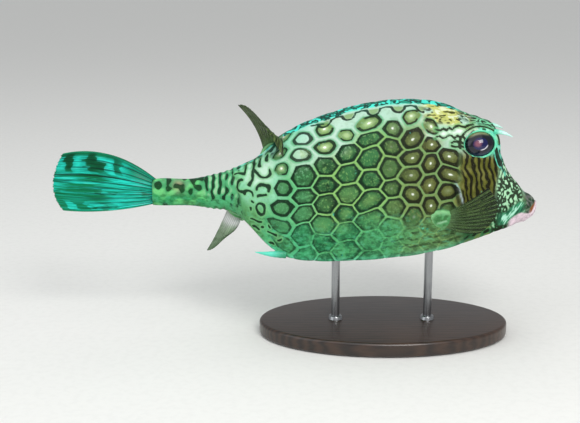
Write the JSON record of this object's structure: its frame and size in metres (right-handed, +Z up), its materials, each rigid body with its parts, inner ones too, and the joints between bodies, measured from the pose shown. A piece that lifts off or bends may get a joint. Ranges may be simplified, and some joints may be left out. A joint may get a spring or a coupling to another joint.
{
  "type": "honeycomb cowfish model on a display stand",
  "caption": "Life-size still model of a honeycomb cowfish with a plated shell, horns over the eyes and rayed fins, held over a flat oval base by two rods.",
  "frame": {"origin": "centre of the underside of the stand's base", "axes": "X along the fish from tail to snout, with the snout towards +X; Y to the fish's left; Z up"},
  "size_m": [0.2988, 0.092, 0.1487],
  "materials": {
    "shell": "satin, dark green six-sided plates on a pale network",
    "skin": "satin, pale green with dark marks",
    "lip": "satin, pinkish white",
    "fin": "glossy, green membrane with darker rays",
    "eye": "polished, dark",
    "horn": "satin, pale turquoise",
    "stand_wood": "dark, waxed",
    "stand_steel": "brushed along the rods"
  },
  "bodies": {
    "root": {"trunk": "shell", "head": "skin", "lips": "lip", "tail_stem": "skin", "tail_fin": "fin", "dorsal_fin": "fin", "anal_fin": "fin", "pectoral_fin_right": "fin", "pectoral_fin_left": "fin", "eye_right": "eye", "eye_left": "eye", "horn_right": "horn", "horn_left": "horn", "rear_spine_right": "shell", "rear_spine_left": "shell", "stand_base": "stand_wood", "stand_rod_rear": "stand_steel", "stand_rod_front": "stand_steel"}
  },
  "joints": []
}
